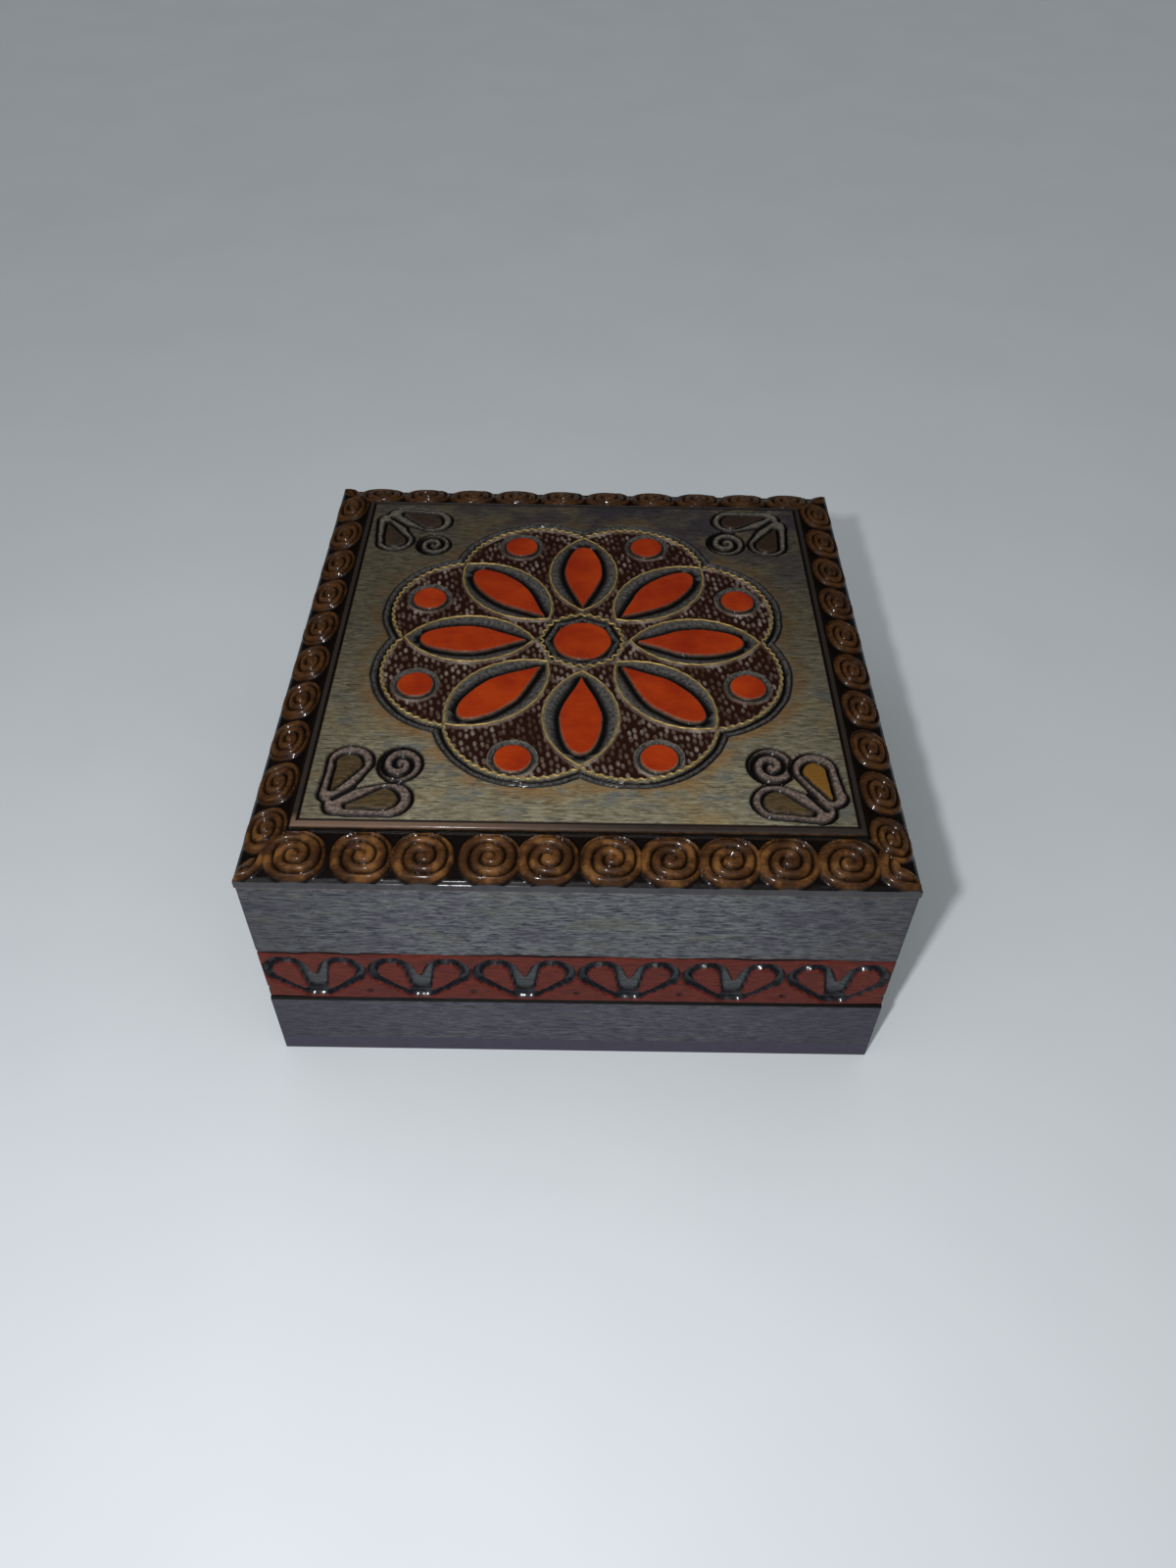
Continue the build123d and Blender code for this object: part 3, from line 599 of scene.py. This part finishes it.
def wall_paint():
    """Grey-blue stained wood with the red carved band; bare brown wood inside the box."""
    paint = Paint("stained_wall_wood")
    along = paint.x + paint.y
    fine, pores, broad = grain(paint, along, paint.z)
    stain = paint.mix(fine.step(0.37, 0.63), (0.018, 0.020, 0.030), (0.155, 0.160, 0.162))
    stain = paint.mix(broad.step(0.48, 0.70) * 0.5, stain, (0.045, 0.032, 0.062))
    stain = paint.mix(broad.step(0.48, 0.34) * 0.35, stain, (0.115, 0.110, 0.078))
    stain = paint.mix(pores.step(0.54, 0.70) * 0.55, stain, (0.012, 0.012, 0.020))
    ends = paint.x.abs().step(25.0, 66.0)
    stain = paint.mix(ends * 0.5, stain, (0.026, 0.025, 0.032))
    base = paint.z.step(LID_RIM - 0.1, LID_RIM - 0.2)
    stain = paint.mix(base * 0.5, stain, paint.mix(fine, (0.016, 0.014, 0.028), (0.070, 0.064, 0.090)))
    red = paint.mix(fine.step(0.34, 0.66), (0.055, 0.009, 0.006), (0.135, 0.022, 0.013))
    red = paint.mix(broad.step(0.5, 0.7) * 0.5, red, (0.060, 0.014, 0.014))
    wave = paint.noise(along * 0.15, 3.0, 0.0, 2) * 1.2 + paint.z
    front = paint.y.abs().step(HALF_Y - 0.2 - BAND_DEPTH, HALF_Y - BAND_DEPTH)
    half = front * (HALF_X - HALF_Y) + HALF_Y
    run = front * (paint.x - paint.y) + paint.y
    pitch = half * (2 / BAND_MOTIFS)
    offset = (run + half).run("FLOORED_MODULO", pitch) - pitch / 2
    u = offset.abs()
    leaf, island = paint.cone(u, paint.z, *LEAF), paint.cone(u, paint.z, *ISLAND)
    cut = leaf.step(0.12, -0.12) * island.step(-0.12, 0.12)
    gx, gz = (u - pitch / 2) / NICK_HALF_WIDTH, (paint.z - NICK_Z) / NICK_HALF_HEIGHT
    nick = (gx * gx + gz * gz).run("SQRT").step(1.05, 0.8)
    band = wave.step(BAND_TOP + 0.75, BAND_TOP + 0.45) * paint.z.step(LID_RIM - 0.25, LID_RIM - 0.15)
    colour = paint.mix(band, stain, red)
    line = (wave - BAND_TOP - 0.6).abs().step(0.32, 0.12)
    colour = paint.mix(line, colour, (0.010, 0.004, 0.004))
    # Painted shadow: a near-black line along the gap between lid and base
    seam_shadow = (paint.z - LID_RIM + 0.25).abs().step(0.78, 0.60)
    colour = paint.mix(seam_shadow, colour, (0.003, 0.002, 0.002))
    # The gouges are painted near black, partly stain and partly painted shade
    dark = paint.mix(pores.step(0.4, 0.7), (0.004, 0.004, 0.006), (0.020, 0.022, 0.028))
    gouge_highlight = paint.mix(fine.step(0.35, 0.65), (0.012, 0.014, 0.017), (0.078, 0.082, 0.086))
    # The middle of each pair and one side of its gouges get a painted highlight, but not the gouges' rims
    middle = (offset - 0.2).abs().step(3.0, 1.6) * paint.z.step(22.0, 24.0)
    lit_side = offset.step(0.0, 1.0) * 0.35 * paint.z.step(31.6, 30.2)
    rim = leaf.step(-0.75, -0.35).run("MAXIMUM", island.step(0.6, 0.3))
    dark = paint.mix((middle * 0.85).run("MAXIMUM", lit_side) * rim.flip(), dark, gouge_highlight)
    colour = paint.mix(cut * band, colour, dark)
    colour = paint.mix(nick * band, colour, (0.035, 0.006, 0.005))
    inner_x = paint.x.abs().step(HALF_X - WALL + 0.6, HALF_X - WALL + 0.1)
    inner_y = paint.y.abs().step(HALF_Y - WALL + 0.6, HALF_Y - WALL + 0.1)
    bare = paint.mix(fine, *BARE_WOOD)
    bare = paint.mix(pores.step(0.55, 0.8) * 0.5, bare, (0.08, 0.04, 0.02))
    colour = paint.mix(inner_x * inner_y, colour, bare)
    carved = cut.run("MAXIMUM", nick) * band
    rough = fine * 0.2 + 0.42 + carved * -0.15
    return paint.finish(colour, rough, pores + fine * 2, 0.05, carved * 0.35, 0.16)


def bottom_paint():
    """Dark purple stained board, bare inside the tray."""
    paint = Paint("dark_bottom_wood")
    along = paint.x + paint.y
    fine, pores, _ = grain(paint, along, paint.z)
    colour = paint.mix(fine, (0.018, 0.015, 0.030), (0.085, 0.076, 0.105))
    inside = paint.z.step(4.4, 4.48) * paint.x.abs().step(55.6, 55.4) * paint.y.abs().step(58.1, 57.9)
    colour = paint.mix(inside, colour, paint.mix(fine, *BARE_WOOD))
    return paint.finish(colour, fine * 0.2 + 0.4, pores + fine * 2, 0.05)


def top_paint():
    """The top board: olive and blue-grey panel, red lacquered rosette, dark field and tan coils."""
    paint = Paint("carved_top_wood")
    red, grey, field = paint.mask("carving")
    groove, border, warm = paint.mask("border")
    shade, beyond, glow = paint.mask("shade")
    x, y = paint.x, paint.y
    fine, pores, _ = grain(paint, x, y)
    blotch = paint.noise(x * 0.13, y * 0.2, 4.0, 5, 0.65)
    cloud = paint.noise(x * 0.07, y * 0.08, 9.0, 4, 0.6)
    # Painted shade: the panel darkens towards the back, and at the front towards the sides, where the lamp's
    # light falls off
    far = y.step(-56.0, 14.0)
    panel = paint.mix(fine.step(0.32, 0.68), (0.050, 0.044, 0.028), (0.265, 0.235, 0.155))
    panel = paint.mix(blotch.step(0.52, 0.66) * 0.6, panel, (0.085, 0.095, 0.105))
    panel = paint.mix(cloud.step(0.5, 0.68) * 0.35, panel, (0.24, 0.14, 0.035))
    panel = paint.mix(glow * blotch.step(0.62, 0.42) * 0.7, panel, (0.20, 0.095, 0.025))
    deep = paint.mix(fine.step(0.3, 0.7), (0.008, 0.007, 0.005), (0.064, 0.050, 0.029))
    panel = paint.mix(far * 0.74, panel, deep)
    sides = x.abs().step(34.0, 56.0) * far.flip() * 0.35
    panel = paint.mix(sides, panel, (0.018, 0.014, 0.009))
    night = (y + x * 0.25).step(22.0, 54.0) * cloud.step(0.64, 0.42)
    panel = paint.mix(night * 0.85, panel, paint.mix(fine, (0.008, 0.007, 0.012), (0.046, 0.037, 0.050)))
    panel = paint.mix(pores.step(0.55, 0.70) * 0.55, panel, (0.016, 0.012, 0.008))
    olive = paint.mix(fine.step(0.3, 0.7), (0.018, 0.010, 0.004), (0.085, 0.050, 0.016))
    panel = paint.mix(warm.step(0.0, 0.3) * 0.9, panel, olive)
    amber = paint.mix(fine, (0.10, 0.045, 0.006), (0.22, 0.10, 0.012))
    panel = paint.mix(warm.step(0.6, 1.0) * 0.85, panel, amber)
    umber = paint.mix(fine, (0.010, 0.006, 0.004), (0.050, 0.028, 0.018))
    panel = paint.mix((warm * -1).step(0.0, 0.8), panel, umber)
    lacquer = paint.mix(cloud.step(0.3, 0.7), (0.23, 0.014, 0.0008), (0.35, 0.034, 0.001))
    lacquer = paint.mix(fine.step(0.45, 0.72) * 0.4, lacquer, (0.14, 0.008, 0.0008))
    worn = paint.noise(x * 1.3, y * 1.3, 2.0, 5, 0.7).step(0.32, 0.68)
    cut = paint.mix(worn, (0.018, 0.017, 0.016), (0.100, 0.094, 0.087))
    leaves = (x.abs() - 29.0).step(0.0, 0.5) * (y.abs() - 31.0).step(0.0, 0.5)
    bead = paint.mix(worn, (0.045, 0.033, 0.028), (0.205, 0.150, 0.122))
    back_bead = paint.mix(worn, (0.040, 0.036, 0.030), (0.150, 0.135, 0.105))
    bead = paint.mix(y.step(-30.0, 40.0) * 0.8, bead, back_bead)
    cut = paint.mix(leaves, cut, bead)
    cut = paint.mix(shade.flip(), cut, (0.004, 0.003, 0.003))
    dark = paint.mix(pores, (0.007, 0.002, 0.0015), (0.032, 0.009, 0.005))
    patches = paint.noise(x * 0.16, y * 0.16, 6.0, 3).step(0.42, 0.66)
    light = paint.mix(patches, (0.060, 0.034, 0.024), (0.210, 0.165, 0.135))
    light = paint.mix(pores.step(0.52, 0.70) * 0.5, light, dark)
    colour = paint.mix(field.step(0.02, 0.12), panel, light)
    colour = paint.mix(field.step(0.42, 0.95), colour, dark)
    colour = paint.mix(grey, colour, cut)
    colour = paint.mix(red, colour, lacquer)
    tint = paint.noise(x * 0.22, y * 0.22, 3.0, 4, 0.6)
    tan = paint.mix(fine.step(0.3, 0.7), (0.030, 0.010, 0.003), (0.100, 0.042, 0.012))
    tan = paint.mix(tint.step(0.45, 0.62) * 0.7, tan, (0.024, 0.009, 0.004))
    # Painted light: the front row of coils is lighter orange in patches, where its slope faces the lamp
    tan = paint.mix(y.step(-52.0, -58.0) * tint.step(0.5, 0.36) * 0.6, tan, (0.19, 0.082, 0.022))
    # Painted shade: near black in the grooves between the coils' turns
    tan = paint.mix(groove, tan, (0.0035, 0.002, 0.0015))
    rail = paint.mix(fine, (0.010, 0.008, 0.007), (0.040, 0.030, 0.024))
    rail = paint.mix(y.step(-52.0, -54.0) * x.step(20.0, -40.0) * 0.9, rail, (0.135, 0.082, 0.056))
    tan = paint.mix(beyond.step(1.5, 1.3), tan, rail)
    tan = paint.mix((beyond - FRAME_GROOVE).abs().step(0.4, 0.2), tan, (0.004, 0.003, 0.002))
    colour = paint.mix(border, colour, tan)
    step = (x.abs() - PANEL_X).run("MAXIMUM", y.abs() - PANEL_Y).abs().step(0.45, 0.2)
    colour = paint.mix(step, colour, (0.008, 0.004, 0.003))
    edge = (x.abs() - HALF_X + 0.08).run("MAXIMUM", y.abs() - HALF_Y + 0.08).step(0.0, 0.06)
    side = paint.mix(fine, (0.012, 0.012, 0.018), (0.070, 0.068, 0.072))
    colour = paint.mix(edge, colour, side)
    under = paint.z.step(BOARD_LOW + 0.05, BOARD_LOW + 0.01)
    colour = paint.mix(under, colour, paint.mix(fine, *BARE_WOOD))
    rough = fine * 0.2 + 0.36 + border * -0.12
    coat = border * tint.step(0.3, 0.6) * 0.25 + grey * 0.04 + 0.02
    return paint.finish(colour, rough, pores + fine * 2, 0.05, coat, 0.14, 0.0, 0.1)


def brass_paint():
    """Drawn brass with light tarnish."""
    paint = Paint("tarnished_brass")
    spots = paint.noise(paint.x * 0.8, paint.y * 0.8, paint.z * 0.8, 4)
    scratches = paint.noise(paint.x * 0.6, paint.y * 9, paint.z * 9, 3)
    colour = paint.mix(spots.step(0.35, 0.75), (0.56, 0.39, 0.14), (0.26, 0.17, 0.06))
    return paint.finish(colour, spots * 0.25 + 0.4, scratches, 0.01, 0.0, 0.2, 0.6, 0.3)


def tube(path, closed=True):
    """Round wire along a path of points in millimetres."""
    ahead = np.roll(path, -1, 0) - np.roll(path, 1, 0)
    if not closed:
        ahead[0], ahead[-1] = path[1] - path[0], path[-1] - path[-2]
    ahead /= np.linalg.norm(ahead, axis=1)[:, None]
    left = np.stack([-ahead[:, 1], ahead[:, 0], 0 * ahead[:, 0]], 1)
    around = np.linspace(0, 2 * pi, WIRE_SIDES, endpoint=False)
    ring = left[:, None, :] * np.cos(around)[None, :, None] * WIRE_RADIUS
    ring = ring + np.array([0, 0, 1.0]) * np.sin(around)[None, :, None] * WIRE_RADIUS
    points = (path[:, None, :] + ring).reshape(-1, 3)
    n = len(path)
    i, j = np.meshgrid(np.arange(n if closed else n - 1), np.arange(WIRE_SIDES), indexing="ij")
    start, after, turned = i * WIRE_SIDES, (i + 1) % n * WIRE_SIDES, (j + 1) % WIRE_SIDES
    return points, np.stack([start + j, after + j, after + turned, start + turned], -1).reshape(-1, 4)


def wave_points(x, y, amplitude, pitch, lift):
    """Path through the points, bent from side to side in small waves, at the panel's face."""
    step = np.hypot(np.diff(x), np.diff(y))
    run = np.concatenate([[0], np.cumsum(step)])
    waves = max(1, round(run[-1] / pitch))
    dx, dy = np.gradient(x), np.gradient(y)
    size = np.hypot(dx, dy)
    bend = amplitude * np.sin(2 * pi * waves * run / run[-1])
    z = np.full_like(x, PANEL_TOP + lift)
    return np.stack([x - dy / size * bend + CENTRE[0], y + dx / size * bend + CENTRE[1], z], 1)


def make_wires(brass):
    """Brass wires let into the rosette."""
    turn = np.linspace(0, 2 * pi, WIRE_SAMPLES)
    path = wave_points(DISC_WIRE * np.cos(turn), DISC_WIRE * np.sin(turn), *CENTRE_WAVE, CENTRE_LIFT)[:-1]
    mesh_piece("wavy_centre_wire", *tube(path), brass, "lid", "brass", ["centre_wire"])
    sweep = asin(PETAL_REACH / PETAL_ARC)
    swing = np.linspace(-sweep, sweep, WIRE_SAMPLES // 2)
    side_x = PETAL_IN + PETAL_REACH + PETAL_ARC * np.sin(swing)
    side_y = PETAL_ARC * np.cos(swing) - PETAL_ARC + PETAL_HALF
    loop_x = np.concatenate([side_x, side_x[::-1][1:]])
    loop_y = np.concatenate([side_y, -side_y[::-1][1:]])
    swing = np.linspace(-LOBE_SWEEP, LOBE_SWEEP, WIRE_SAMPLES // 2)
    lobe_x, lobe_y = LOBE_CENTRE + LOBE_RADIUS * np.cos(swing), LOBE_RADIUS * np.sin(swing)
    for n in range(8):
        for kind, px, py, wave, closed, angle in (
            ("petal", loop_x, loop_y, PETAL_WAVE, True, n * STEP),
            ("lobe", lobe_x, lobe_y, LOBE_WAVE, False, (n + 0.5) * STEP),
        ):
            x = px * cos(angle) - py * sin(angle)
            y = px * sin(angle) + py * cos(angle)
            path = wave_points(x, y, *wave, WIRE_LIFT)
            path = path[:-1] if closed else path
            points, faces = tube(path, closed)
            name = f"{kind}_wire_{n + 1}"
            mesh_piece("wavy_" + name, points, faces, brass, "lid", "brass", [name])


def make_top(material):
    """The carved top board."""
    lo, hi = (-HALF_X, -HALF_Y, BOARD_LOW), (HALF_X, HALF_Y, PANEL_TOP)
    points, faces = block(lo, hi, TOP_STEP, ("z-",))
    x, y, z = points.T
    drop, groove, border, beyond = carve_border(x, y)
    depth, red, grey, field, warm, shade, glow = carve_panel(x, y)
    inner = 1 - border
    total = drop + depth * inner
    share = (z - BOARD_LOW) / (PANEL_TOP - BOARD_LOW)
    moved = points.copy()
    moved[:, 2] = BOARD_LOW + share * (PANEL_TOP - BOARD_LOW - total)
    masks = {
        "carving": (red * inner, grey * inner, field * inner),
        "border": (groove, border, warm * inner),
        "shade": (shade, beyond, glow),
    }
    mesh_piece("carved_top_board", moved, faces, material, "lid", "carved_top_wood", ["top_board"], masks)


def join(*meshes):
    """Several meshes as one."""
    points = np.concatenate([m[0] for m in meshes])
    starts = np.cumsum([0] + [len(m[0]) for m in meshes[:-1]])
    return points, np.concatenate([m[1] + s for m, s in zip(meshes, starts)])


def make_lid_walls(material):
    """The carved front and side walls of the lid."""
    skin = block((-HALF_X, -HALF_Y, LID_RIM), (HALF_X, TONGUE - HALF_Y, BOARD_LOW), WALL_STEP)
    core_x = HALF_X - WALL
    core = block((-core_x, TONGUE - HALF_Y, LID_RIM), (core_x, WALL - HALF_Y, BOARD_LOW), CORE_STEP)
    points, faces = join(skin, core)
    mesh_piece(
        "carved_lid_front_wall", carve_wall(points), faces, material, "lid", "banded_wood", ["lid_front_wall"]
    )
    for side, name in ((-1, "left"), (1, "right")):
        xs = sorted((side * HALF_X, side * (HALF_X - WALL)))
        lo, hi = (xs[0], TONGUE - HALF_Y, LID_RIM), (xs[1], HALF_Y - TONGUE, BOARD_LOW)
        points, faces = block(lo, hi, WALL_STEP)
        node = f"lid_{name}_wall"
        mesh_piece("carved_" + node, carve_wall(points), faces, material, "lid", "banded_wood", [node])


def paint_nodes(material, names):
    """Gives CAD nodes that are kept a material."""
    for obj in bpy.data.objects:
        if obj.name in names and obj.type == "MESH":
            if not obj.material_slots:
                obj.data.materials.append(material)
            for entry in obj.material_slots:
                entry.material = material


def make_floor():
    """Flat pale floor."""
    mesh = bpy.data.meshes.new("floor")
    corners = [(x * FLOOR_HALF, y * FLOOR_HALF, 0) for x, y in ((-1, -1), (1, -1), (1, 1), (-1, 1))]
    mesh.from_pydata(corners, [], [(0, 1, 2, 3)])
    paint = Paint("floor")
    spots = paint.noise(paint.x * 0.02, paint.y * 0.02, 0.0, 3)
    colour = paint.mix(spots, (0.60, 0.625, 0.645), (0.645, 0.67, 0.685))
    mesh.materials.append(paint.finish(colour, spots * 0.1 + 0.6, spots, 0.02, gloss=0.3))
    floor = bpy.data.objects.new("floor", mesh)
    bpy.context.scene.collection.objects.link(floor)


def add_lamp(name, place, aim, size, energy, colour):
    """Square lamp that points at a spot."""
    data = bpy.data.lights.new(name, "AREA")
    data.energy, data.size, data.color = energy, size, colour
    lamp = bpy.data.objects.new(name, data)
    lamp.location = place
    away = np.array(place) - np.array(aim)
    tilt = atan2(float(np.hypot(away[0], away[1])), float(away[2]))
    turn = atan2(float(away[1]), float(away[0])) + pi / 2
    lamp.rotation_euler = (tilt, 0, turn)
    bpy.context.scene.collection.objects.link(lamp)


def make_light():
    """Dim even room light, and a small lamp to the left above the camera that throws the shadow."""
    world = bpy.data.worlds.new("room")
    world.use_nodes = True
    tree = world.node_tree
    back = tree.nodes["Background"]
    back.inputs["Color"].default_value = ROOM_COLOUR
    path = tree.nodes.new("ShaderNodeLightPath")
    level = tree.nodes.new("ShaderNodeMapRange")
    tree.links.new(path.outputs["Is Glossy Ray"], level.inputs["Value"])
    level.inputs["To Min"].default_value = ROOM_LEVEL
    level.inputs["To Max"].default_value = ROOM_GLOSS
    tree.links.new(level.outputs["Result"], back.inputs["Strength"])
    bpy.context.scene.world = world
    add_lamp("flash", FLASH_PLACE, FLASH_AIM, FLASH_SIZE, FLASH_POWER, FLASH_COLOUR)


def make_camera():
    """Camera placed from the box's corners in the photograph."""
    data = bpy.data.cameras.new("camera")
    data.sensor_width = CAMERA_SENSOR
    data.lens = CAMERA_LENS
    camera = bpy.data.objects.new("camera", data)
    yaw, tilt = Matrix.Rotation(CAMERA_YAW, 4, "Z"), Matrix.Rotation(CAMERA_TILT, 4, "X")
    turn = yaw @ tilt @ Matrix.Rotation(CAMERA_ROLL, 4, "Z")
    camera.matrix_world = Matrix.Translation(CAMERA_PLACE) @ turn
    data.clip_start = CAMERA_NEAR
    bpy.context.scene.collection.objects.link(camera)
    bpy.context.scene.camera = camera


wall_wood = wall_paint()
brass = brass_paint()
make_top(top_paint())
make_lid_walls(wall_wood)
make_wires(brass)
base_walls = [f"base_{s}_wall" for s in ("front", "back", "left", "right")]
paint_nodes(wall_wood, [*base_walls, "lid_back_wall"])
paint_nodes(bottom_paint(), ["bottom_board"])
hinge_nodes = [
    f"{hand}_hinge_{part}"
    for hand in ("left", "right")
    for part in ("base_leaf", "lid_leaf", "pin", "base_screws", "lid_screws")
]
paint_nodes(brass, hinge_nodes)
make_floor()
make_light()
make_camera()
bpy.context.scene.view_settings.view_transform = "Standard"
